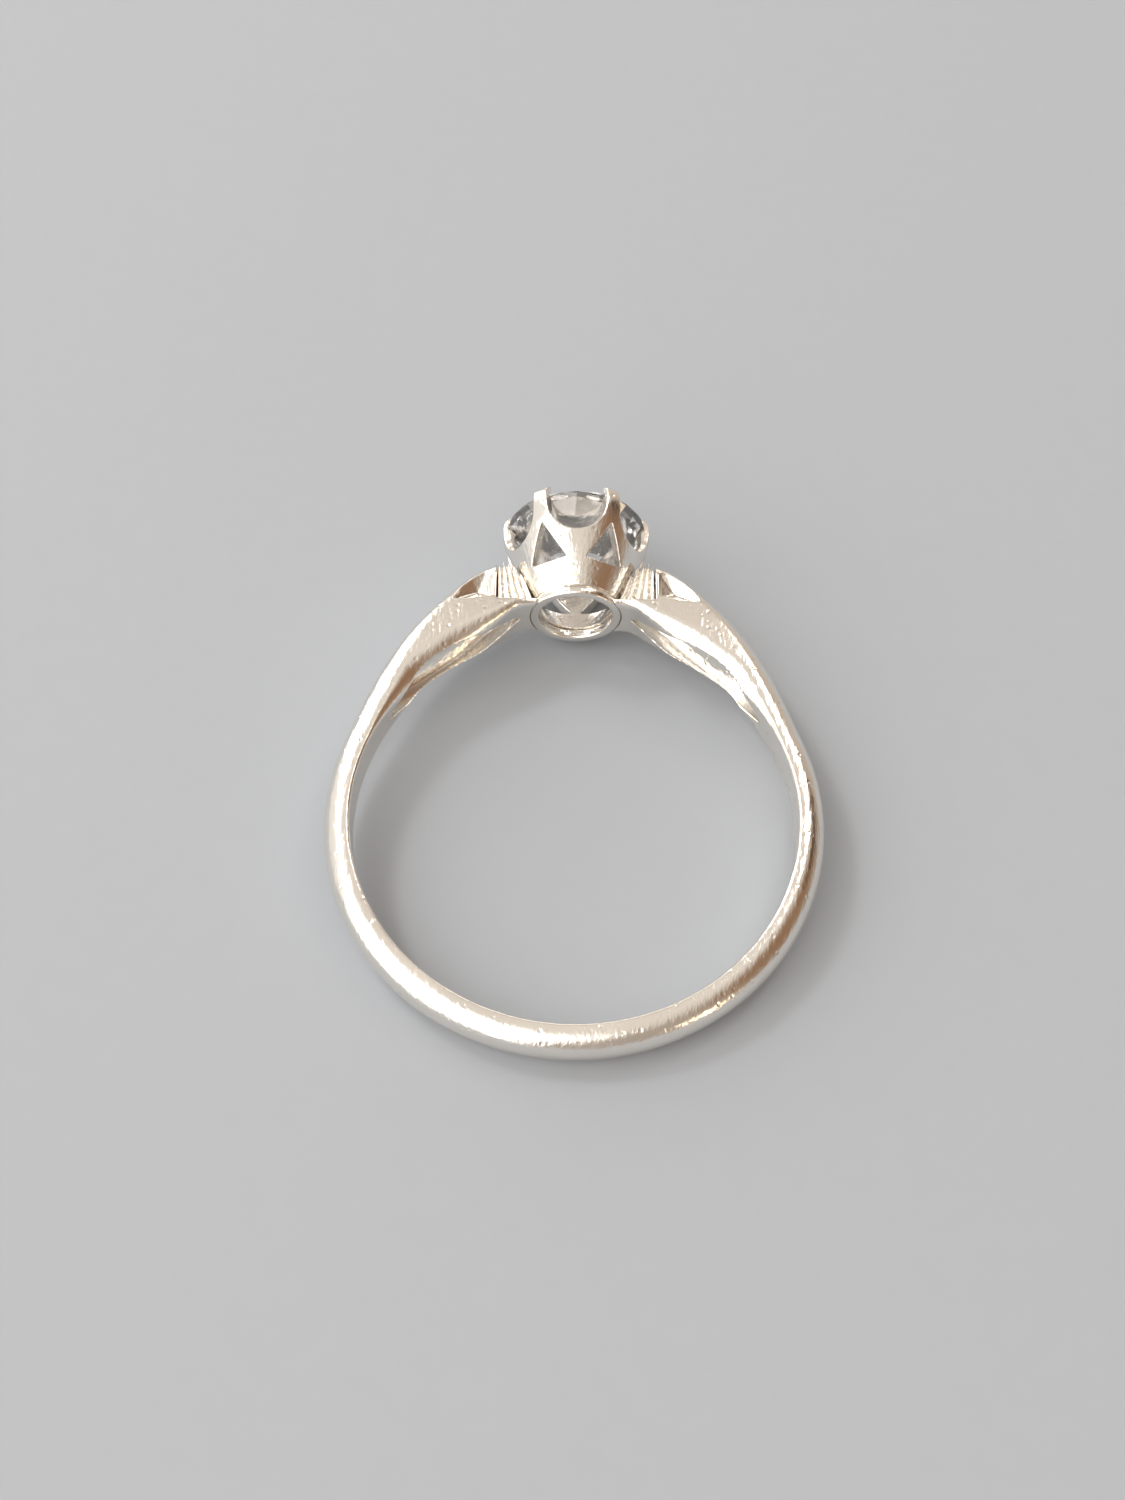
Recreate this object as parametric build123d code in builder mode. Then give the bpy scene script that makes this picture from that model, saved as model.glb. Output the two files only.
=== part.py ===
"""A solitaire engagement ring: a slim half-round shank, two hollowed shoulders that rise to the head,
two ribbed bolsters, a pierced six-prong head on its base ring, and a round brilliant.

Millimetres. The origin is the centre of the finger hole, +Z is the finger's axis and the head is at +Y.
Angles round the finger are measured from the X axis, on both sides alike.
"""

from build123d import *
import os
from math import cos, radians, sin, tan

# Finger hole and shank
FINGER_RADIUS = 8.85
SHANK_THICKNESS = 1.10
SHANK_HALF_WIDTH = 0.90
SHANK_FLAT_SHARE = 0.22     # how much of the band's height is straight before it rounds over
EDGE_ROLL = 0.14            # radius of the rolled edges beside the finger

# Shoulders
SHOULDER_START = 20.0       # where a shoulder leaves the shank, in degrees above the X axis
SHOULDER_END = 80.0
SHOULDER_RISE = 2.10        # how much further out its back is at the head
SHOULDER_LIFT = 0.38        # a last rise close to the head, on top of that
LIFT_START = 0.64           # where along the shoulder it begins and is complete
LIFT_END = 0.92
SHOULDER_HALF_WIDTH = 1.25
SHOULDER_FLAT_SHARE = 0.78
SHOULDER_SECTIONS = 12
ROUND_HOLE_END = 50.0       # above this the finger wall leaves its circle and runs straight to the head
SHOULDER_ROLL = 0.78        # how much the rolled edges grow in the middle of a shoulder
ROLL_GROWTH = (27.0, 55.0)  # the angles between which they grow
ROLL_DECLINE = (56.0, 76.0)
ROLL_LOSS = 0.75            # how much of that growth is lost again at the head
ROLL_MARGIN = 0.06          # flat flank left between the rolled edge and the half-round back
PEAK_ROUNDING = 1.2         # of the corners under the head
WALL_STOCK = 0.03           # metal left on the finger's side until its hole is bored
LEAF_START = 38.5
LEAF_END = 76.5
LEAF_HALF_WIDTH = 0.88
LEAF_DEPTH = 0.70
FLANK_OUTLINE = [(5.25, 9.62), (4.90, 10.30), (4.40, 10.86), (3.80, 11.24), (3.45, 11.20), (3.45, 9.90)]
FLANK_DEPTH = 0.42
FLANK_CLEARANCE = 0.10      # the cut starts this far outside the flank
FLANK_SLOPE = 45.0

# Head, whose axis is Y
BASE_BOTTOM = 9.60
BASE_TOP = 10.05
BASE_INNER_RADIUS = 1.53
BASE_OUTER_RADIUS = 1.93
BASE_ROUNDING = 0.16
HEAD_WALL = 0.42
BOLSTER_OUTER_X = 3.35
SEAT_LEVEL = 9.80           # of the flat on each shoulder that a bolster sits on
BOLSTER_TOP = 11.85
BOLSTER_HALF_WIDTH = 1.16
BOLSTER_LEAN = 14.0
BOLSTER_ROOT = 0.6          # how far a rib is drawn below the seat before the block is trimmed
RIB_PITCH = 0.29
RIB_WIDTH = 0.19
RIB_HEIGHT = 0.11
RIB_ROUNDING = 0.40
RIB_DROP = 0.035            # how fast the ribs get shorter away from the tallest one
HEAD_FOOT = (1.88, BASE_TOP)
HEAD_BELLY = [(2.42, 11.15), (2.86, 12.40)]
HEAD_LIP = (3.12, 13.40)
CLAW_BACK = [(3.15, 14.05), (3.00, 14.42)]
CLAW_TOP = (2.62, 14.60)
CLAW_TIP = (2.42, 14.42)
PRONG_COUNT = 6
PRONG_STEP = 360 / PRONG_COUNT
SCALLOP_HALF_WIDTH = 1.05
SCALLOP_BOTTOM = 12.42
SCALLOP_FLARE = 0.12
BEVEL_FOOT = 2.60           # how far from the head's axis the bevel round a scallop begins
BEVEL_REACH = 0.70
BEVEL_SLOPE = 40.0
WINDOW_APEX = 12.75
WINDOW_BASE = 11.15
WINDOW_HALF_WIDTH = 0.84
WINDOW_BOW = 0.10
WINDOW_ROUNDING = 0.06

# Centre stone
STONE_RADIUS = 2.95
GIRDLE_LEVEL = 14.00
GIRDLE_THICKNESS = 0.10
TABLE_SHARE = 0.57
CROWN_ANGLE = 34.5
UPPER_HALF_ANGLE = 40.0
STAR_ANGLE = 21.5
PAVILION_ANGLE = 40.75
LOWER_HALF_ANGLE = 42.0
MAIN_FACETS = 8

SHANK_RADIUS = FINGER_RADIUS + SHANK_THICKNESS

os.makedirs("parts", exist_ok=True)


def save(piece, name):
    piece.label = name
    export_step(piece, f"parts/{name}.step")


def radial_plane(angle):
    """The plane through the finger's axis at this angle: its x points outwards, its y along the finger."""
    across = radians(angle)
    return Plane(
        origin=(0, 0, 0),
        x_dir=(cos(across), sin(across), 0),
        z_dir=(sin(across), -cos(across), 0),
    )


def head_plane(angle):
    """The plane on the head's axis that faces outwards at this angle round it: its y points up the head."""
    turn = radians(angle)
    return Plane(origin=(0, 0, 0), x_dir=(cos(turn), 0, -sin(turn)), z_dir=(sin(turn), 0, cos(turn)))


def eased(share):
    share = min(max(share, 0.0), 1.0)
    return share * share * (3 - 2 * share)


def band_section(inner, outer, half_width, flat_share, roll):
    """The band's section: rolled inner edges, straight sides up to this share of its height, half-round back."""
    side_end = FINGER_RADIUS + (outer - FINGER_RADIUS) * flat_share
    roll = min(roll, side_end - inner - ROLL_MARGIN)
    wall_half = half_width - roll
    with BuildSketch() as section:
        with BuildLine():
            Line((inner, wall_half), (inner, -wall_half))
            CenterArc((inner + roll, -wall_half), roll, 180, 90)
            Line((inner + roll, -half_width), (side_end, -half_width))
            EllipticalCenterArc((side_end, 0), outer - side_end, half_width, start_angle=-90, arc_size=180)
            Line((side_end, half_width), (inner + roll, half_width))
            CenterArc((inner + roll, wall_half), roll, 90, 90)
        make_face()
    return section.sketch


# Shank: the lower part of the hoop
shank_section = band_section(FINGER_RADIUS, SHANK_RADIUS, SHANK_HALF_WIDTH, SHANK_FLAT_SHARE, EDGE_ROLL)
with BuildPart() as shank:
    with BuildSketch(radial_plane(180 - SHOULDER_START)):
        add(shank_section)
    revolve(axis=Axis.Z, revolution_arc=180 + 2 * SHOULDER_START)
save(shank.part, "shank")


def finger_opening(radius):
    """A round hole of this radius, peaked towards the head, as a block through the ring."""
    leave = radians(ROUND_HOLE_END)
    flat_x = (radius / sin(leave) - BASE_BOTTOM) * tan(leave)
    leave_x = radius * cos(leave)
    leave_y = radius * sin(leave)
    with BuildPart() as opening:
        with BuildSketch() as sketch:
            Circle(radius)
            Polygon(
                (leave_x, leave_y),
                (flat_x, BASE_BOTTOM),
                (-flat_x, BASE_BOTTOM),
                (-leave_x, leave_y),
                align=None,
            )
            fillet(sketch.vertices().group_by(Axis.Y)[-1], PEAK_ROUNDING)
        extrude(amount=2 * SHOULDER_HALF_WIDTH, both=True)
    return opening.part


def finger_wall(angle):
    """How far the finger's wall is from its axis: round, then straight to the flat under the head."""
    if angle <= ROUND_HOLE_END:
        return FINGER_RADIUS
    straight = FINGER_RADIUS / cos(radians(angle - ROUND_HOLE_END))
    flat = BASE_BOTTOM / sin(radians(angle))
    return min(straight, flat)


def eased_between(value, limits):
    return eased((value - limits[0]) / (limits[1] - limits[0]))


def shoulder_section(angle):
    """A shoulder's section at this angle above the X axis."""
    share = (angle - SHOULDER_START) / (SHOULDER_END - SHOULDER_START)
    lift = SHOULDER_LIFT * eased_between(share, (LIFT_START, LIFT_END))
    outer = SHANK_RADIUS + SHOULDER_RISE * eased(share) + lift
    spread = eased(1.3 * share)
    half_width = SHANK_HALF_WIDTH + (SHOULDER_HALF_WIDTH - SHANK_HALF_WIDTH) * spread
    flat_share = SHANK_FLAT_SHARE + (SHOULDER_FLAT_SHARE - SHANK_FLAT_SHARE) * spread
    kept = 1 - ROLL_LOSS * eased_between(angle, ROLL_DECLINE)
    roll = EDGE_ROLL + SHOULDER_ROLL * eased_between(angle, ROLL_GROWTH) * kept
    return band_section(finger_wall(angle) - WALL_STOCK, outer, half_width, flat_share, roll)


def leaf_block():
    """The hollow under a shoulder: a leaf, pointed at both ends."""
    middle = radians((LEAF_START + LEAF_END) / 2)
    reach = radians(LEAF_END - LEAF_START) * FINGER_RADIUS / 2
    facing = Plane(
        origin=(0, 0, 0),
        x_dir=(-sin(middle), cos(middle), 0),
        z_dir=(cos(middle), sin(middle), 0),
    )
    with BuildPart() as block:
        with BuildSketch(facing):
            with BuildLine():
                upper = Spline(
                    (-reach, 0), (0.05 * reach, LEAF_HALF_WIDTH), (reach, 0), tangents=[(1, 1), (1, -1)]
                )
                mirror(upper, about=Plane.XZ)
            make_face()
        extrude(amount=2 * FINGER_RADIUS)
        add(finger_opening(FINGER_RADIUS + LEAF_DEPTH), mode=Mode.INTERSECT)
    return block.part


def head_envelope():
    """Everything that the base ring and the head take up, filled in to the head's axis."""
    with BuildPart() as envelope:
        with BuildSketch():
            with BuildLine():
                Spline(HEAD_FOOT, *HEAD_BELLY, HEAD_LIP, *CLAW_BACK, CLAW_TOP)
                Polyline(
                    CLAW_TOP,
                    (0, CLAW_TOP[1]),
                    (0, BASE_BOTTOM),
                    (BASE_OUTER_RADIUS, BASE_BOTTOM),
                    (BASE_OUTER_RADIUS, BASE_TOP),
                    HEAD_FOOT,
                )
            make_face()
        revolve(axis=Axis.Y)
    return envelope.part


envelope = head_envelope()

# Shoulders: they widen and rise from the shank to the head, and are hollowed on the finger's side
section_pitch = (SHOULDER_END - SHOULDER_START) / (SHOULDER_SECTIONS - 1)
finger_block = finger_opening(FINGER_RADIUS)
leaf = leaf_block()
with BuildPart() as shoulder_right:
    for step in range(SHOULDER_SECTIONS):
        angle = SHOULDER_START + step * section_pitch
        section = shoulder_section(angle)
        with BuildSketch(radial_plane(angle)):
            add(section)
    loft()
    with BuildSketch():
        with Locations((0, SEAT_LEVEL)):
            Rectangle(2 * BOLSTER_OUTER_X, 4 * SHOULDER_HALF_WIDTH, align=(Align.CENTER, Align.MIN))
    extrude(amount=2 * SHOULDER_HALF_WIDTH, both=True, mode=Mode.SUBTRACT)
    add(finger_block, mode=Mode.SUBTRACT)
    add(leaf, mode=Mode.SUBTRACT)
    add(envelope, mode=Mode.SUBTRACT)
    for side in (-1, 1):
        with BuildSketch(Plane.XY.offset(side * (SHOULDER_HALF_WIDTH + FLANK_CLEARANCE))):
            Polygon(*FLANK_OUTLINE, align=None)
            offset(amount=FLANK_CLEARANCE, kind=Kind.INTERSECTION)
        extrude(amount=-side * (FLANK_DEPTH + FLANK_CLEARANCE), taper=FLANK_SLOPE, mode=Mode.SUBTRACT)
save(shoulder_right.part, "shoulder_right")

with BuildPart() as shoulder_left:
    mirror(shoulder_right.part, about=Plane.YZ)
save(shoulder_left.part, "shoulder_left")

# Base ring: the rim of the opening that faces the finger
with BuildPart() as head_base_ring:
    with BuildSketch():
        with Locations((BASE_INNER_RADIUS, BASE_BOTTOM)):
            Rectangle(
                BASE_OUTER_RADIUS - BASE_INNER_RADIUS, BASE_TOP - BASE_BOTTOM, align=(Align.MIN, Align.MIN)
            )
    revolve(axis=Axis.Y)
    fillet(head_base_ring.edges().filter_by(GeomType.CIRCLE).group_by(Axis.Y)[0], BASE_ROUNDING)
save(head_base_ring.part, "head_base_ring")


def facet_side(azimuth, slope, reach, level, upwards):
    """The plane of one facet: it leans over the stone at this slope and passes reach from the axis at level."""
    turn = radians(azimuth)
    tilt = radians(slope)
    outward = (cos(turn), 0, sin(turn))
    lift = cos(tilt) if upwards else -cos(tilt)
    return Plane(
        origin=(reach * outward[0], level, reach * outward[2]),
        z_dir=(sin(tilt) * outward[0], lift, sin(tilt) * outward[2]),
    )


# Centre stone: a round brilliant, ground from a disc one facet at a time
girdle_top = GIRDLE_LEVEL + GIRDLE_THICKNESS / 2
girdle_bottom = GIRDLE_LEVEL - GIRDLE_THICKNESS / 2
table_radius = TABLE_SHARE * STONE_RADIUS
table_level = girdle_top + (STONE_RADIUS - table_radius) * tan(radians(CROWN_ANGLE))
main_step = 360 / MAIN_FACETS
half_reach = STONE_RADIUS * cos(radians(main_step / 4))
star_reach = table_radius * cos(radians(main_step / 2))
facets = []
for index in range(MAIN_FACETS):
    azimuth = index * main_step
    facets.append(facet_side(azimuth, CROWN_ANGLE, STONE_RADIUS, girdle_top, True))
    facets.append(facet_side(azimuth + main_step / 2, STAR_ANGLE, star_reach, table_level, True))
    facets.append(facet_side(azimuth, PAVILION_ANGLE, STONE_RADIUS, girdle_bottom, False))
    for half in (-main_step / 4, main_step / 4):
        facets.append(facet_side(azimuth + half, UPPER_HALF_ANGLE, half_reach, girdle_top, True))
        facets.append(facet_side(azimuth + half, LOWER_HALF_ANGLE, half_reach, girdle_bottom, False))
with BuildPart() as centre_stone:
    with BuildSketch(Plane.XZ.offset(-table_level)):
        Circle(STONE_RADIUS)
    extrude(amount=STONE_RADIUS + table_level - girdle_bottom)
    for facet in facets:
        split(bisect_by=facet, keep=Keep.BOTTOM)
save(centre_stone.part, "centre_stone")


def scallop_outline():
    """The gap between two prongs: a round foot and sides that open slightly towards the stone."""
    side_foot = SCALLOP_BOTTOM + SCALLOP_HALF_WIDTH
    side_top = CLAW_TOP[1] + 1
    wide = SCALLOP_HALF_WIDTH + SCALLOP_FLARE
    with BuildSketch() as outline:
        with BuildLine():
            Polyline((SCALLOP_HALF_WIDTH, side_foot), (wide, side_top), (-wide, side_top),
                     (-SCALLOP_HALF_WIDTH, side_foot))
            ThreePointArc((-SCALLOP_HALF_WIDTH, side_foot), (0, SCALLOP_BOTTOM), (SCALLOP_HALF_WIDTH, side_foot))
        make_face()
    return outline.sketch


def window_outline():
    """The pierced window under a prong: a triangle with a bowed sill and slightly rounded corners."""
    with BuildSketch() as outline:
        with BuildLine():
            Polyline((-WINDOW_HALF_WIDTH, WINDOW_BASE), (0, WINDOW_APEX), (WINDOW_HALF_WIDTH, WINDOW_BASE))
            ThreePointArc((WINDOW_HALF_WIDTH, WINDOW_BASE), (0, WINDOW_BASE - WINDOW_BOW),
                          (-WINDOW_HALF_WIDTH, WINDOW_BASE))
        make_face()
        fillet(outline.vertices(), WINDOW_ROUNDING)
    return outline.sketch


scallop = scallop_outline()
window = window_outline()

# Head: a tapered cup, scalloped between its prongs and pierced under each of them
with BuildPart() as head_crown:
    with BuildSketch():
        with BuildLine():
            Spline(HEAD_FOOT, *HEAD_BELLY, HEAD_LIP, *CLAW_BACK, CLAW_TOP)
            Line(CLAW_TOP, CLAW_TIP)
            inside = Spline(
                (HEAD_LIP[0] - HEAD_WALL, HEAD_LIP[1]),
                *[(x - HEAD_WALL, y) for x, y in reversed(HEAD_BELLY)],
                (HEAD_FOOT[0] - HEAD_WALL, BASE_TOP),
            )
            Line(CLAW_TIP, inside @ 0)
            Line(inside @ 1, HEAD_FOOT)
        make_face()
    revolve(axis=Axis.Y)
    for index in range(PRONG_COUNT):
        with BuildSketch(head_plane(index * PRONG_STEP)):
            add(scallop)
        extrude(amount=2 * STONE_RADIUS, mode=Mode.SUBTRACT)
        with BuildSketch(head_plane(index * PRONG_STEP).offset(BEVEL_FOOT)):
            add(scallop)
        extrude(amount=BEVEL_REACH, taper=-BEVEL_SLOPE, mode=Mode.SUBTRACT)
        with BuildSketch(head_plane((index + 0.5) * PRONG_STEP)):
            add(window)
        extrude(amount=2 * STONE_RADIUS, mode=Mode.SUBTRACT)
    add(centre_stone.part, mode=Mode.SUBTRACT)
save(head_crown.part, "head_crown")


# Bolsters: ribbed blocks that lean against the head between it and each shoulder
lean = radians(BOLSTER_LEAN)
tallest_rib_x = BOLSTER_OUTER_X - RIB_PITCH * 2.2
rib_side = (cos(lean), -sin(lean), 0)
with BuildPart() as bolster_right:
    for index in range(-4, 4):
        for width, drop in ((RIB_WIDTH, 0), (RIB_PITCH, RIB_HEIGHT)):
            height = BOLSTER_TOP - SEAT_LEVEL + BOLSTER_ROOT - drop - RIB_DROP * index * index
            half_width = BOLSTER_HALF_WIDTH - drop
            foot = (tallest_rib_x + index * RIB_PITCH, SEAT_LEVEL - BOLSTER_ROOT, 0)
            with BuildSketch(Plane(origin=foot, x_dir=(0, 0, -1), z_dir=rib_side)):
                with Locations((0, height / 2)):
                    RectangleRounded(2 * half_width, height, RIB_ROUNDING)
            extrude(amount=width / 2, both=True)
    with BuildSketch(Plane.XY.offset(-SHOULDER_HALF_WIDTH)):
        with Locations((0, SEAT_LEVEL)):
            Rectangle(BOLSTER_OUTER_X, 4 * SHOULDER_HALF_WIDTH, align=(Align.MIN, Align.MIN))
    extrude(amount=2 * SHOULDER_HALF_WIDTH, mode=Mode.INTERSECT)
    add(envelope, mode=Mode.SUBTRACT)
save(bolster_right.part, "bolster_right")

with BuildPart() as bolster_left:
    mirror(bolster_right.part, about=Plane.YZ)
save(bolster_left.part, "bolster_left")
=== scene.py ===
"""Looks of the engagement ring: polished white metal, a faceted stone, a pale floor and soft studio light.

In the ring's own frame, the finger hole's centre is the origin, +Z is the finger's axis and the head points
to +Y. The metal's shapes are worked out in millimetres and scaled to the scene's metres as each is finished.
The ring lies on its band and its stone, so the floor is tilted under it.
"""

from math import atan2, copysign, cos, pi, radians, sin, sqrt, tan

import bmesh
import bpy
from mathutils import Matrix, Vector


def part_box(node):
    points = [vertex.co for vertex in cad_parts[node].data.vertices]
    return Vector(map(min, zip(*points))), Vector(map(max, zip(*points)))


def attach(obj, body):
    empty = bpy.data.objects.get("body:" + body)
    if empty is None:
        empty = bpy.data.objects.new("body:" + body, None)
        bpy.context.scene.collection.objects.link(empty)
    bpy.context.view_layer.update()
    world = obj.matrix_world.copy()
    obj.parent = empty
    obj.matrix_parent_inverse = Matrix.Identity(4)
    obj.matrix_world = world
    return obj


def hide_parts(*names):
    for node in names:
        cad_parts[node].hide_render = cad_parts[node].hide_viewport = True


MM = 0.001

# Camera: looks down on the ring's plane, towards its head
VIEW_ELEVATION = radians(61.0)
VIEW_ROLL = radians(0.65)
VIEW_DISTANCE = 77.26 * MM
VIEW_TARGET = Vector((-0.49, 3.22, 0.0)) * MM
LENS = 45.6
SENSOR = 36.0

# Floor
FLOOR_SIZE = 1.2
FLOOR_COLOUR = (0.37, 0.395, 0.43, 1)
FLOOR_COLOUR_DIP = 0.97     # how dark its grain gets, against the colour
FLOOR_GRAIN_SCALE = 900
FLOOR_ROUGHNESS = 0.85
BAND_REST = 0.92            # where the band touches the floor, as a share of its reach down -Y
STONE_REST_Y = 14.0 * MM    # where the stone's rim touches it

# Light
LAMP_DISTANCE = 0.5
LAMPS = [
    # name, azimuth, elevation, width and height in degrees, power, colour
    ("window", -128, 38, 76, 78, 3.3, (1.0, 0.98, 0.95)),
    ("side_strip", -40, 22, 16, 60, 0.9, (1.0, 0.98, 0.96)),
    ("key", -52, 46, 9, 9, 0.45, (1.0, 0.97, 0.92)),
    ("back_card", 0, 12, 44, 18, 0.28, (1.0, 0.95, 0.86)),
    ("back_glint", 40, 48, 7, 26, 0.25, (1.0, 0.97, 0.93)),
    ("warm_glint", 135, 12, 9, 9, 0.12, (1.0, 0.80, 0.52)),
]
ROOM_COLOUR = (0.62, 0.53, 0.45, 1)
SKY = [
    # azimuth, elevation, inner and outer angle in degrees, colour
    (0, 90, 10, 50, (0.80, 0.73, 0.66)),
    (100, 15, 18, 65, (0.38, 0.30, 0.23)),
    (95, 32, 10, 32, (0.29, 0.165, 0.095)),
    (65, 28, 4, 16, (0.10, 0.055, 0.035)),
    (-70, 20, 20, 55, (0.90, 0.86, 0.81)),
    (0, 20, 8, 30, (0.42, 0.40, 0.37)),
    (170, 20, 10, 50, (0.42, 0.36, 0.31)),
]

# Polished metal: texture scales are per metre, and pointiness is 0.5 on a flat and lower in a crevice
METAL_COLOUR = (0.95, 0.92, 0.87, 1)
METAL_SHADE = (0.84, 0.80, 0.74, 1)
# Painted shade: the metal is darkened in crevices and concave edges, where shade falls
METAL_CREVICE_SHADE_COLOUR = (0.20, 0.16, 0.12, 1)
CREVICE_SHADE_POINTINESS = (0.485, 0.40)      # where the painted crevice shade starts and where it is full
HAZE_SCALE = 420
HAZE_RANGE = (0.35, 0.75)
METAL_ROUGHNESS = (0.12, 0.30)
SCRATCH_SCALE = 5200
SCRATCH_STRETCH = (1.0, 0.30, 1.0)
PIT_SCALE = 2300
PIT_EDGE = (0.08, 0.24)                 # where a pit's bottom ends and where the flat around it begins
BUMP_STRENGTH = 0.45
BUMP_DEPTH = 0.05 * MM

# Stone
STONE_IOR = 2.0
STONE_TRANSMISSION = 0.94
STONE_HAZE_SCALE = 900
STONE_HAZE_RANGE = (0.45, 0.80)
STONE_ROUGHNESS = (0.0, 0.05)

# The band: lengths in millimetres, angles in degrees above the X axis
FINGER_RADIUS = 8.85
SHANK_RADIUS = 9.95
SHANK_HALF_WIDTH = 0.90
SHANK_FLAT_SHARE = 0.22     # how much of its thickness is flat flank, before the back's curve starts
SHANK_ROLL = 0.14           # radius of the edges beside the finger
SHOULDER_START = 20.0
SHOULDER_END = 80.0
SHOULDER_TOP = 81.5         # where its metal stops, under the head
SHOULDER_RISE = 2.10
SHOULDER_LIFT = 0.38        # the second, quicker rise beside the head
LIFT_SHARES = (0.64, 0.92)  # where it starts and ends, as shares of a shoulder's length
SPREAD_RATE = 1.3           # how much sooner a shoulder widens than it rises
SHOULDER_HALF_WIDTH = 1.25
SHOULDER_FLAT_SHARE = 0.78
SHOULDER_ROLL = 0.78        # how much the edges beside the finger grow in the middle of a shoulder
ROLL_GROWTH = (20.0, 48.0)
ROLL_DECLINE = (56.0, 76.0)
ROLL_LOSS = 0.75            # the share of the roll that is gone beside the head
ROLL_MARGIN = 0.06          # the least flat flank between the roll and the back
ROLL_POWER = 1.15           # 1 rolls the edge round, 2 makes it a plain bevel
SEAM_OVERLAP = 2.0          # how far past the seam a shoulder is made before it is cut clean, in degrees
ROUND_HOLE_END = 50.0
PEAK_BLEND = 0.30           # how softly the finger's wall turns into the flat under the head
LEAF_START = 30.8
LEAF_END = 76.5
LEAF_TIP = 0.4              # how much of each tip is left off, in degrees, so that it has a width
LEAF_HALF_WIDTH = 0.86
LEAF_FULLNESS = 0.8         # 1 is a sine's outline, lower is fuller
LEAF_DEPTH = 0.95
LEAF_PLUNGE = 1.2           # how soon the hollow reaches its depth from its tips
LEAF_VAULT = 0.38           # how much shallower the hollow is at its rim
FLANK_OUTLINE = [(5.25, 9.62), (4.90, 10.30), (4.40, 10.86), (3.80, 11.24), (3.45, 11.20), (3.45, 9.90)]
FLANK_APEX = (4.15, 10.30)
FLANK_DEPTH = 0.50
FLANK_RIM = 0.86            # size of the recess where its steep rim ends, against the outline
FLANK_RIM_DEPTH = 0.14
FLANK_CLEARANCE = 0.05
CUT_MARGIN = 1              # how far a cutter goes past what it cuts

# The head and its base ring, in millimetres; the head's axis is Y
BASE_BOTTOM = 9.60
BASE_TOP = 10.05
BASE_INNER_RADIUS = 1.53
BASE_OUTER_RADIUS = 1.93
RIM_FULLNESS = 0.62         # the base ring's section: 1 is an ellipse, lower is squarer
HEAD_WALL = 0.42            # thickness of the cup
HEAD_FOOT = (1.88, BASE_TOP)
HEAD_BELLY = [(2.42, 11.15), (2.86, 12.40)]
HEAD_LIP = (3.12, 13.40)
CLAW_BACK = [(3.15, 14.05), (3.00, 14.42)]
CLAW_TOP = (2.62, 14.60)
CLAW_TIP = (2.42, 14.42)
PRONG_COUNT = 6
SCALLOP_HALF_WIDTH = 1.05
SCALLOP_BOTTOM = 12.42
SCALLOP_FLARE = 0.12
BEVEL_FOOT = 2.60
BEVEL_REACH = 0.70
BEVEL_SLOPE = radians(40)
WINDOW_APEX = 12.75
WINDOW_BASE = 11.15
WINDOW_HALF_WIDTH = 0.84
WINDOW_BOW = 0.10
CUT_START = 0.5             # how far from the axis the scallops' and windows' cutters start
CUT_END = 5.0

# The ribbed bolsters beside the head, in millimetres
SEAT_LEVEL = 9.80
BOLSTER_INNER_X = 1.75
BOLSTER_OUTER_X = 3.35
BOLSTER_TOP = 11.85
BOLSTER_CREST_X = 2.75      # where the tallest rib is
BOLSTER_FALL = 0.90         # how fast the top falls away from it
BOLSTER_HALF_WIDTH = 1.16
BOLSTER_ROUNDING = 0.42
BOLSTER_LEAN = 20.0
RIB_COUNT = 5
RIB_HEIGHT = 0.26

# Mesh resolution: pitches in degrees, voxels in millimetres, each voxel with its passes of smoothing
BAND_PITCH = 0.6
LEAF_PITCH = 0.8
WALL_STEPS = 10
ROLL_STEPS = 14
FLANK_STEPS = 10
BACK_STEPS = 22
LEAF_STEPS = 10
RIB_STEPS = 12
SHOULDER_POLISH = (0.04, 6)
BOLSTER_POLISH = (0.025, 2)
HEAD_POLISH = (0.03, 3)
CURVE_STEPS = 10
RING_STEPS = 160
RIM_STEPS = 36
SHARP_ANGLE = radians(40)   # edges sharper than this aren't shaded smooth

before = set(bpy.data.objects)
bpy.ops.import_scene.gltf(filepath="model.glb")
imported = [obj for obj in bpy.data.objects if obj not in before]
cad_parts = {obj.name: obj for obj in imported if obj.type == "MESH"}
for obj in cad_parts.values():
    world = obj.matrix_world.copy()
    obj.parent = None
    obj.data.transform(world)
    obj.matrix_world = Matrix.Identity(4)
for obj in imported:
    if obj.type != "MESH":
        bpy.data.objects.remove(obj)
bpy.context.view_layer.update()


def link(obj):
    bpy.context.scene.collection.objects.link(obj)
    return obj


# ---------------------------------------------------------------- camera
def set_tone():
    bpy.context.scene.view_settings.view_transform = "Standard"


def make_camera():
    data = bpy.data.cameras.new("photo_camera")
    data.lens = LENS
    data.sensor_width = SENSOR
    data.clip_start = 1 * MM
    data.clip_end = 10
    camera = link(bpy.data.objects.new("photo_camera", data))
    back = Vector((0, -cos(VIEW_ELEVATION), sin(VIEW_ELEVATION)))
    turn = Matrix.Rotation(radians(90) - VIEW_ELEVATION, 4, "X") @ Matrix.Rotation(VIEW_ROLL, 4, "Z")
    camera.matrix_world = Matrix.Translation(VIEW_TARGET + back * VIEW_DISTANCE) @ turn
    bpy.context.scene.camera = camera


# ---------------------------------------------------------------- band geometry, in millimetres
def eased(share):
    share = min(max(share, 0.0), 1.0)
    return share * share * (3 - 2 * share)


def eased_between(value, limits):
    return eased((value - limits[0]) / (limits[1] - limits[0]))


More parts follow.
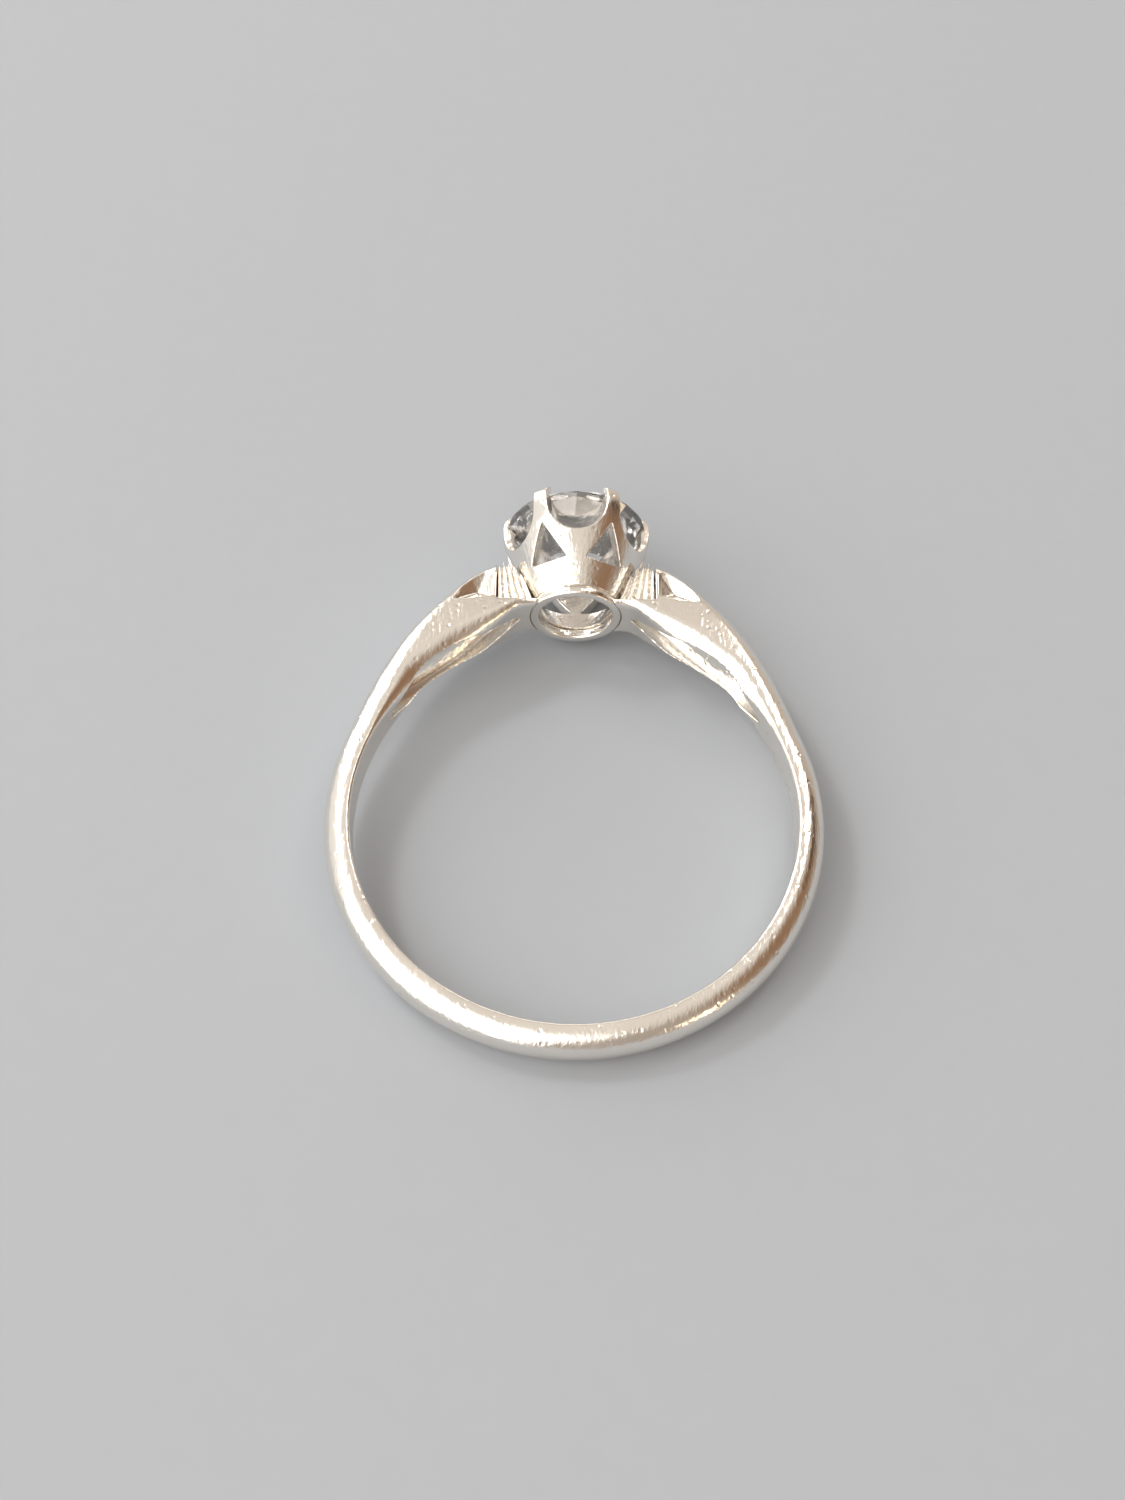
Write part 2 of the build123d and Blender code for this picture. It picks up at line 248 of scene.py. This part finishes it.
def finger_wall(angle):
    """How far the finger's wall is from its axis: round, then straight to the flat under the head."""
    if angle <= ROUND_HOLE_END:
        return FINGER_RADIUS
    straight = FINGER_RADIUS / cos(radians(angle - ROUND_HOLE_END))
    flat = BASE_BOTTOM / sin(radians(angle))
    blend = max(PEAK_BLEND - abs(straight - flat), 0.0) / PEAK_BLEND
    return min(straight, flat) - blend * blend * PEAK_BLEND / 4


def band_section(angle):
    """The band's outline at this angle, as (distance from the axis, z): wall, rolled edge, flank and back."""
    share = (angle - SHOULDER_START) / (SHOULDER_END - SHOULDER_START)
    rise = eased(share)
    inner = finger_wall(angle)
    outer = SHANK_RADIUS + SHOULDER_RISE * rise + SHOULDER_LIFT * eased_between(share, LIFT_SHARES)
    spread = eased(SPREAD_RATE * share)
    half_width = SHANK_HALF_WIDTH + (SHOULDER_HALF_WIDTH - SHANK_HALF_WIDTH) * spread
    flat_share = SHANK_FLAT_SHARE + (SHOULDER_FLAT_SHARE - SHANK_FLAT_SHARE) * spread
    flank_end = FINGER_RADIUS + (outer - FINGER_RADIUS) * flat_share
    kept = 1 - ROLL_LOSS * eased_between(angle, ROLL_DECLINE)
    roll = SHANK_ROLL + SHOULDER_ROLL * eased_between(angle, ROLL_GROWTH) * kept
    roll = min(roll, flank_end - inner - ROLL_MARGIN)
    wall_half = half_width - roll
    upper = []
    for step in range(WALL_STEPS):
        upper.append((inner, wall_half * step / WALL_STEPS))
    for step in range(ROLL_STEPS):
        turn = radians(90) * step / ROLL_STEPS
        inwards, across = cos(turn) ** ROLL_POWER, sin(turn) ** ROLL_POWER
        upper.append((inner + roll * (1 - inwards), wall_half + roll * across))
    for step in range(FLANK_STEPS):
        upper.append((inner + roll + (flank_end - inner - roll) * step / FLANK_STEPS, half_width))
    for step in range(BACK_STEPS + 1):
        turn = radians(90) * step / BACK_STEPS
        upper.append((flank_end + (outer - flank_end) * sin(turn), half_width * cos(turn)))
    lower = [(distance, -z) for distance, z in reversed(upper[1:-1])]
    return upper + lower


def place_section(section, angle, side):
    turn = radians(angle)
    return [(side * distance * cos(turn), distance * sin(turn), z) for distance, z in section]


def closed_mesh(name, points, faces):
    """A mesh with every face turned outwards."""
    mesh = bpy.data.meshes.new(name)
    mesh.from_pydata(points, [], faces)
    work = bmesh.new()
    work.from_mesh(mesh)
    bmesh.ops.recalc_face_normals(work, faces=work.faces)
    work.to_mesh(mesh)
    work.free()
    return mesh


def tube_mesh(name, rings):
    """A closed solid through these rings of points, with flat ends."""
    count = len(rings[0])
    points = [point for ring in rings for point in ring]
    faces = [tuple(range(count)), tuple(reversed(range(len(points) - count, len(points))))]
    for row in range(len(rings) - 1):
        here, there = row * count, (row + 1) * count
        for step in range(count):
            following = (step + 1) % count
            faces.append((here + step, there + step, there + following, here + following))
    return closed_mesh(name, points, faces)


def steps_between(start, end, pitch):
    count = max(2, round(abs(end - start) / pitch))
    return [start + (end - start) * step / count for step in range(count + 1)]


def leaf_cutter(side):
    """The hollow under a shoulder: a vaulted leaf, pointed at both ends."""
    rings = []
    for angle in steps_between(LEAF_START + LEAF_TIP, LEAF_END - LEAF_TIP, LEAF_PITCH):
        share = (angle - LEAF_START) / (LEAF_END - LEAF_START)
        width = LEAF_HALF_WIDTH * sin(pi * share) ** LEAF_FULLNESS
        plunge = min(1, LEAF_PLUNGE * sqrt(width / LEAF_HALF_WIDTH))
        wall = finger_wall(angle)
        ring = [(wall - CUT_MARGIN, -width), (wall - CUT_MARGIN, width)]
        for step in range(LEAF_STEPS + 1):
            across = 1 - 2 * step / LEAF_STEPS
            vault = LEAF_DEPTH * (1 - LEAF_VAULT * across * across)
            ring.append((wall + vault * plunge, width * across))
        rings.append(place_section(ring, angle, side))
    return tube_mesh("leaf_cutter", rings)


def lathe_mesh(name, profile):
    """A solid turned about the head's axis from (radius, level) points, bottom to top, with flat ends."""
    turns = [2 * pi * step / RING_STEPS for step in range(RING_STEPS)]
    rings = []
    for radius, level in profile:
        rings.append([(radius * cos(turn), level, radius * sin(turn)) for turn in turns])
    return tube_mesh(name, rings)


def box_mesh(name, low, high):
    corners = [(low[1], low[2]), (high[1], low[2]), (high[1], high[2]), (low[1], high[2])]
    return tube_mesh(name, [[(x, y, z) for y, z in corners] for x in (low[0], high[0])])


def flank_cutter(side, front):
    """The bright-cut recess in a flank: a steep rim, and facets that meet in one deepest point."""
    face = front * (SHOULDER_HALF_WIDTH + FLANK_CLEARANCE)
    floor = front * (SHOULDER_HALF_WIDTH - FLANK_RIM_DEPTH)
    points = [(side * x, y, face) for x, y in FLANK_OUTLINE]
    for x, y in FLANK_OUTLINE:
        inner_x = FLANK_APEX[0] + FLANK_RIM * (x - FLANK_APEX[0])
        inner_y = FLANK_APEX[1] + FLANK_RIM * (y - FLANK_APEX[1])
        points.append((side * inner_x, inner_y, floor))
    points.append((side * FLANK_APEX[0], FLANK_APEX[1], front * (SHOULDER_HALF_WIDTH - FLANK_DEPTH)))
    count = len(FLANK_OUTLINE)
    faces = [tuple(range(count))]
    for step in range(count):
        following = (step + 1) % count
        faces.append((step, following, count + following, count + step))
        faces.append((count + step, count + following, 2 * count))
    return closed_mesh("flank_cutter", points, faces)


def carve(mesh, cutters, voxel, smoothing):
    """The mesh without the cutters' solids, remeshed evenly and smoothed until every edge is soft."""
    body = link(bpy.data.objects.new(mesh.name, mesh))
    tools = []
    for cutter in cutters:
        tool = link(bpy.data.objects.new(cutter.name, cutter))
        tools.append(tool)
        cut = body.modifiers.new("cut", "BOOLEAN")
        cut.operation = "DIFFERENCE"
        cut.solver = "EXACT"
        cut.object = tool
    remesh = body.modifiers.new("even_mesh", "REMESH")
    remesh.mode = "VOXEL"
    remesh.voxel_size = voxel
    soften = body.modifiers.new("soft_edges", "SMOOTH")
    soften.factor = 0.5
    soften.iterations = smoothing
    bpy.context.view_layer.update()
    result = bpy.data.meshes.new_from_object(body.evaluated_get(bpy.context.evaluated_depsgraph_get()))
    for obj in [body, *tools]:
        bpy.data.objects.remove(obj)
    return result


def cut_clean(mesh, angle, side):
    """Ends a shoulder on the flat where it is soldered to the shank."""
    turn = radians(angle)
    work = bmesh.new()
    work.from_mesh(mesh)
    normal = (-side * sin(turn), cos(turn), 0)
    geometry = work.verts[:] + work.edges[:] + work.faces[:]
    cut = bmesh.ops.bisect_plane(work, geom=geometry, plane_co=(0, 0, 0), plane_no=normal, clear_inner=True)
    rim = [item for item in cut["geom_cut"] if isinstance(item, bmesh.types.BMEdge)]
    bmesh.ops.edgeloop_fill(work, edges=rim)
    work.to_mesh(mesh)
    work.free()


def finish_piece(mesh, name, material, nodes):
    """Puts a millimetre mesh in the scene as the piece that stands for these CAD nodes."""
    mesh.transform(Matrix.Scale(MM, 4))
    mesh.name = name
    mesh.materials.clear()
    mesh.materials.append(material)
    mesh.shade_smooth()
    mesh.set_sharp_from_angle(angle=SHARP_ANGLE)
    piece = link(bpy.data.objects.new(name, mesh))
    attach(piece, "root")
    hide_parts(*nodes)


def make_shank(material):
    section = band_section(SHOULDER_START)
    rings = []
    for angle in steps_between(SHOULDER_START, -180 - SHOULDER_START, BAND_PITCH):
        rings.append(place_section(section, angle, 1))
    finish_piece(tube_mesh("shank", rings), "shank_polished", material, ["shank"])


def make_shoulder(side, name, material):
    rings = []
    for angle in steps_between(SHOULDER_START - SEAM_OVERLAP, SHOULDER_TOP, BAND_PITCH):
        rings.append(place_section(band_section(angle), angle, side))
    reach = 2 * SHOULDER_HALF_WIDTH
    seat_low = (-BOLSTER_OUTER_X, SEAT_LEVEL, -reach)
    seat_high = (BOLSTER_OUTER_X, SEAT_LEVEL + reach, reach)
    base_levels = (BASE_BOTTOM - CUT_MARGIN, BASE_TOP + CUT_MARGIN)
    cutters = [
        leaf_cutter(side),
        box_mesh("seat_cutter", seat_low, seat_high),
        lathe_mesh("base_cutter", [(BASE_OUTER_RADIUS, level) for level in base_levels]),
        flank_cutter(side, 1),
        flank_cutter(side, -1),
    ]
    mesh = carve(tube_mesh(name, rings), cutters, *SHOULDER_POLISH)
    cut_clean(mesh, SHOULDER_START, side)
    finish_piece(mesh, name + "_polished", material, [name])


def rib_outline(half_width, top):
    """A rib seen from the side, as (y, z): flat on its seat, with round shoulders."""
    corner = top - BOLSTER_ROUNDING
    upper = []
    for step in range(FLANK_STEPS):
        upper.append((SEAT_LEVEL + (corner - SEAT_LEVEL) * step / FLANK_STEPS, half_width))
    for step in range(ROLL_STEPS + 1):
        turn = radians(90) * step / ROLL_STEPS
        across = half_width - BOLSTER_ROUNDING * (1 - cos(turn))
        upper.append((corner + BOLSTER_ROUNDING * sin(turn), across))
    return upper + [(y, -z) for y, z in reversed(upper)]


def make_bolster(side, name, material):
    """Rounded ribs that run up its front, over its top and down its back, leaning on the head."""
    rings = []
    for step in range(RIB_COUNT * RIB_STEPS + 1):
        share = step / (RIB_COUNT * RIB_STEPS)
        foot = BOLSTER_INNER_X + (BOLSTER_OUTER_X - BOLSTER_INNER_X) * share
        groove = RIB_HEIGHT * (1 - abs(sin(pi * step / RIB_STEPS)))
        top = BOLSTER_TOP - BOLSTER_FALL * (foot - BOLSTER_CREST_X) ** 2 - groove
        lean = tan(radians(BOLSTER_LEAN)) * (1 - share)
        rings.append([
            (side * (foot + lean * (y - SEAT_LEVEL)), y, z)
            for y, z in rib_outline(BOLSTER_HALF_WIDTH - groove, top)
        ])
    mesh = carve(tube_mesh(name, rings), [lathe_mesh("head_cutter", head_outside())], *BOLSTER_POLISH)
    finish_piece(mesh, name + "_fluted", material, [name])


def curve_through(points):
    """A smooth curve through these points, as short straight steps (Catmull-Rom)."""
    path = []
    padded = [points[0], *points, points[-1]]
    for before, start, end, after in zip(padded, padded[1:], padded[2:], padded[3:]):
        for step in range(CURVE_STEPS):
            share = step / CURVE_STEPS
            path.append(tuple(
                0.5 * (2 * b + (c - a) * share + (2 * a - 5 * b + 4 * c - d) * share ** 2
                       + (3 * b - a - 3 * c + d) * share ** 3)
                for a, b, c, d in zip(before, start, end, after)
            ))
    return path + [points[-1]]


def head_outside():
    """The base ring's and the cup's outer side, as (radius, level), bottom to top."""
    below = [(BASE_OUTER_RADIUS, BASE_BOTTOM - CUT_MARGIN), (BASE_OUTER_RADIUS, BASE_TOP)]
    return below + curve_through([HEAD_FOOT, *HEAD_BELLY, HEAD_LIP])


def turned_mesh(name, profile):
    """A closed outline of (radius, level) points turned about the head's axis."""
    points = []
    for turn in range(RING_STEPS):
        around = 2 * pi * turn / RING_STEPS
        points += [(radius * cos(around), level, radius * sin(around)) for radius, level in profile]
    count = len(profile)
    faces = []
    for turn in range(RING_STEPS):
        here, there = turn * count, (turn + 1) % RING_STEPS * count
        for step in range(count):
            following = (step + 1) % count
            faces.append((here + step, here + following, there + following, there + step))
    return closed_mesh(name, points, faces)


def around_head(azimuth, distance, across, level):
    """A point on the plane that faces outwards at this azimuth and distance from the head's axis."""
    turn = radians(azimuth)
    return (distance * sin(turn) + across * cos(turn), level, distance * cos(turn) - across * sin(turn))


def scallop_cutter(azimuth):
    """The gap between two prongs: a round foot, sides that open towards the stone, and a bevel outside."""
    level = SCALLOP_BOTTOM + SCALLOP_HALF_WIDTH
    top = CLAW_TOP[1] + CUT_MARGIN
    bevel = BEVEL_REACH * tan(BEVEL_SLOPE)
    rings = []
    for distance, spread in ((CUT_START, 0), (BEVEL_FOOT, 0), (BEVEL_FOOT + BEVEL_REACH, bevel)):
        half = SCALLOP_HALF_WIDTH + spread
        outline = [(half + SCALLOP_FLARE, top)]
        for step in range(2 * LEAF_STEPS + 1):
            turn = pi * step / (2 * LEAF_STEPS)
            outline.append((half * cos(turn), level - half * sin(turn)))
        outline.append((-half - SCALLOP_FLARE, top))
        rings.append([around_head(azimuth, distance, across, y) for across, y in outline])
    return tube_mesh("scallop_cutter", rings)


def window_cutter(azimuth):
    """The pierced window under a prong: a triangle with a bowed sill."""
    outline = [(0, WINDOW_APEX)]
    for step in range(LEAF_STEPS + 1):
        across = 1 - 2 * step / LEAF_STEPS
        outline.append((WINDOW_HALF_WIDTH * across, WINDOW_BASE - WINDOW_BOW * (1 - across * across)))
    rings = []
    for distance in (CUT_START, CUT_END):
        rings.append([around_head(azimuth, distance, across, y) for across, y in outline])
    return tube_mesh("window_cutter", rings)


def stone_cutter():
    """The stone's own shape, so that the prongs bear on its girdle."""
    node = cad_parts["centre_stone"]
    mesh = node.data.copy()
    mesh.transform(Matrix.Scale(1 / MM, 4) @ node.matrix_world)
    return mesh


def make_head(material):
    """The tapered cup, scalloped between its six prongs and pierced under each."""
    inside = [(radius - HEAD_WALL, level) for radius, level in [HEAD_FOOT, *HEAD_BELLY, HEAD_LIP]]
    outside = curve_through([HEAD_FOOT, *HEAD_BELLY, HEAD_LIP, *CLAW_BACK, CLAW_TOP])
    shell = turned_mesh("head", outside + [CLAW_TIP] + list(reversed(curve_through(inside))))
    cutters = [stone_cutter()]
    for index in range(PRONG_COUNT):
        azimuth = 360 * index / PRONG_COUNT
        cutters.append(scallop_cutter(azimuth))
        cutters.append(window_cutter(azimuth + 180 / PRONG_COUNT))
    cup = carve(shell, cutters, *HEAD_POLISH)
    finish_piece(cup, "head_polished", material, ["head_crown"])


def fuller(value):
    """Pushes a sine or cosine outwards, so that a circle drawn with it gets squarer."""
    return copysign(abs(value) ** RIM_FULLNESS, value)


def make_base_ring(material):
    """The rolled rim of the opening that faces the finger."""
    middle = (BASE_INNER_RADIUS + BASE_OUTER_RADIUS) / 2
    level = (BASE_BOTTOM + BASE_TOP) / 2
    profile = []
    for step in range(RIM_STEPS):
        across = 2 * pi * step / RIM_STEPS
        radius = middle + (BASE_OUTER_RADIUS - middle) * fuller(cos(across))
        profile.append((radius, level + (BASE_TOP - level) * fuller(sin(across))))
    rim = turned_mesh("base_ring", profile)
    finish_piece(rim, "base_ring_rolled", material, ["head_base_ring"])


# ---------------------------------------------------------------- materials
def new_material(name):
    material = bpy.data.materials.new(name)
    material.use_nodes = True
    nodes = material.node_tree.nodes
    return material, nodes, material.node_tree.links, nodes["Principled BSDF"]


def add_noise(nodes, links, vector, scale, detail):
    noise = nodes.new("ShaderNodeTexNoise")
    noise.inputs["Scale"].default_value = scale
    noise.inputs["Detail"].default_value = detail
    links.new(vector, noise.inputs["Vector"])
    return noise.outputs["Fac"]


def add_range(nodes, links, value, limits, results=(0.0, 1.0)):
    """Turns a value between these limits into one between these results."""
    scaled = nodes.new("ShaderNodeMapRange")
    scaled.inputs["From Min"].default_value, scaled.inputs["From Max"].default_value = limits
    scaled.inputs["To Min"].default_value, scaled.inputs["To Max"].default_value = results
    links.new(value, scaled.inputs["Value"])
    return scaled.outputs["Result"]


def add_mix(nodes, links, factor, colour):
    """Mixes this colour over input A, which is left for the caller to fill."""
    mix = nodes.new("ShaderNodeMix")
    mix.data_type = "RGBA"
    mix.inputs["B"].default_value = colour
    links.new(factor, mix.inputs["Factor"])
    return mix


def polished_metal(name):
    """Worn polished white metal: uneven tone and gloss, painted shade in its crevices, pits and hairline
    scratches.
    """
    material, nodes, links, shader = new_material(name)
    place = nodes.new("ShaderNodeTexCoord").outputs["Object"]
    haze = add_noise(nodes, links, place, HAZE_SCALE, 5)

    tone = add_mix(nodes, links, haze, METAL_SHADE)
    tone.inputs["A"].default_value = METAL_COLOUR
    pointiness = nodes.new("ShaderNodeNewGeometry").outputs["Pointiness"]
    # Painted shade: darkens the metal where the surface folds inwards, in crevices and concave edges
    crevice_shade = add_mix(nodes, links, add_range(nodes, links, pointiness, CREVICE_SHADE_POINTINESS), METAL_CREVICE_SHADE_COLOUR)
    links.new(tone.outputs["Result"], crevice_shade.inputs["A"])
    links.new(crevice_shade.outputs["Result"], shader.inputs["Base Color"])
    links.new(add_range(nodes, links, haze, HAZE_RANGE, METAL_ROUGHNESS), shader.inputs["Roughness"])

    stretch = nodes.new("ShaderNodeMapping")
    stretch.inputs["Scale"].default_value = SCRATCH_STRETCH
    links.new(place, stretch.inputs["Vector"])
    scratch = add_noise(nodes, links, stretch.outputs["Vector"], SCRATCH_SCALE, 4)
    pits = nodes.new("ShaderNodeTexVoronoi")
    pits.inputs["Scale"].default_value = PIT_SCALE
    links.new(place, pits.inputs["Vector"])
    wear = nodes.new("ShaderNodeMath")
    wear.operation = "MULTIPLY"
    links.new(scratch, wear.inputs[0])
    links.new(add_range(nodes, links, pits.outputs["Distance"], PIT_EDGE), wear.inputs[1])
    bump = nodes.new("ShaderNodeBump")
    bump.inputs["Strength"].default_value = BUMP_STRENGTH
    bump.inputs["Distance"].default_value = BUMP_DEPTH
    links.new(wear.outputs["Value"], bump.inputs["Height"])
    links.new(bump.outputs["Normal"], shader.inputs["Normal"])

    shader.inputs["Metallic"].default_value = 1.0
    return material


def clear_stone(name):
    """A clear cut stone with a faint, patchy haze on its facets."""
    material, nodes, links, shader = new_material(name)
    place = nodes.new("ShaderNodeTexCoord").outputs["Object"]
    haze = add_noise(nodes, links, place, STONE_HAZE_SCALE, 4)
    links.new(add_range(nodes, links, haze, STONE_HAZE_RANGE, STONE_ROUGHNESS), shader.inputs["Roughness"])
    shader.inputs["Base Color"].default_value = (1.0, 1.0, 1.0, 1)
    shader.inputs["IOR"].default_value = STONE_IOR
    shader.inputs["Transmission Weight"].default_value = STONE_TRANSMISSION
    return material


def pale_floor_material():
    material, nodes, links, shader = new_material("pale_floor")
    place = nodes.new("ShaderNodeTexCoord").outputs["Object"]
    dip = [FLOOR_COLOUR_DIP * channel for channel in FLOOR_COLOUR[:3]] + [1]
    tone = add_mix(nodes, links, add_noise(nodes, links, place, FLOOR_GRAIN_SCALE, 2), dip)
    tone.inputs["A"].default_value = FLOOR_COLOUR
    links.new(tone.outputs["Result"], shader.inputs["Base Color"])
    shader.inputs["Roughness"].default_value = FLOOR_ROUGHNESS
    return material


# ---------------------------------------------------------------- floor, light and world
def make_floor():
    """A flat sheet that touches the band's lowest edge and the stone's."""
    band_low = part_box("shank")[0]
    stone_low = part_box("centre_stone")[0]
    band_point = Vector((0, BAND_REST * band_low.y, band_low.z))
    stone_point = Vector((0, STONE_REST_Y, stone_low.z))
    run = stone_point - band_point
    tilt = atan2(run.z, run.y)
    half = FLOOR_SIZE / 2
    corners = [(-half, -half, 0), (half, -half, 0), (half, half, 0), (-half, half, 0)]
    mesh = bpy.data.meshes.new("floor")
    mesh.from_pydata(corners, [], [(0, 1, 2, 3)])
    floor = link(bpy.data.objects.new("floor", mesh))
    floor.matrix_world = Matrix.Translation(band_point) @ Matrix.Rotation(tilt, 4, "X")
    mesh.materials.append(pale_floor_material())


def direction(azimuth, elevation):
    """Where a bearing points: azimuth 0 is +Y and 90 is +X, and elevation is above the ring's plane."""
    turn, lift = radians(azimuth), radians(elevation)
    return Vector((sin(turn) * cos(lift), cos(turn) * cos(lift), sin(lift)))


def softbox(name, azimuth, elevation, width, height, power, colour):
    """A rectangular lamp that faces the ring from this bearing. Width and height are in degrees of sky."""
    data = bpy.data.lights.new(name, "AREA")
    data.shape = "RECTANGLE"
    data.size = 2 * LAMP_DISTANCE * tan(radians(width / 2))
    data.size_y = 2 * LAMP_DISTANCE * tan(radians(height / 2))
    data.energy = power
    data.color = colour
    lamp = link(bpy.data.objects.new(name, data))
    bearing = direction(azimuth, elevation)
    facing = bearing.to_track_quat("Z", "Y").to_matrix().to_4x4()
    lamp.matrix_world = Matrix.Translation(bearing * LAMP_DISTANCE) @ facing


def add_glow(nodes, links, view, under, azimuth, elevation, inner, outer, colour):
    """Lays a soft round patch of colour over the sky: full within the inner angle, gone past the outer."""
    facing = nodes.new("ShaderNodeVectorMath")
    facing.operation = "DOT_PRODUCT"
    facing.inputs[1].default_value = direction(azimuth, elevation)
    links.new(view, facing.inputs[0])
    share = nodes.new("ShaderNodeMapRange")
    share.interpolation_type = "SMOOTHSTEP"
    share.inputs["From Min"].default_value = cos(radians(outer))
    share.inputs["From Max"].default_value = cos(radians(inner))
    links.new(facing.outputs["Value"], share.inputs["Value"])
    mix = add_mix(nodes, links, share.outputs["Result"], (*colour, 1))
    links.new(under, mix.inputs["A"])
    return mix.outputs["Result"]


def make_world():
    """A warm room: beige overhead, brown walls to the right and behind, paler to the left."""
    world = bpy.data.worlds.new("studio")
    bpy.context.scene.world = world
    world.use_nodes = True
    nodes, links = world.node_tree.nodes, world.node_tree.links
    view = nodes.new("ShaderNodeTexCoord").outputs["Generated"]
    sky = nodes.new("ShaderNodeRGB").outputs[0]
    sky.default_value = ROOM_COLOUR
    for glow in SKY:
        sky = add_glow(nodes, links, view, sky, *glow)
    links.new(sky, nodes["Background"].inputs["Color"])


set_tone()
make_camera()
band_metal = polished_metal("band_metal")
bolster_metal = polished_metal("bolster_metal")
head_metal = polished_metal("head_metal")
make_shank(band_metal)
make_shoulder(1, "shoulder_right", band_metal)
make_shoulder(-1, "shoulder_left", band_metal)
make_bolster(1, "bolster_right", bolster_metal)
make_bolster(-1, "bolster_left", bolster_metal)
make_head(head_metal)
make_base_ring(head_metal)
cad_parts["centre_stone"].material_slots[0].material = clear_stone("stone_clear")
make_floor()
for lamp in LAMPS:
    softbox(*lamp)
make_world()
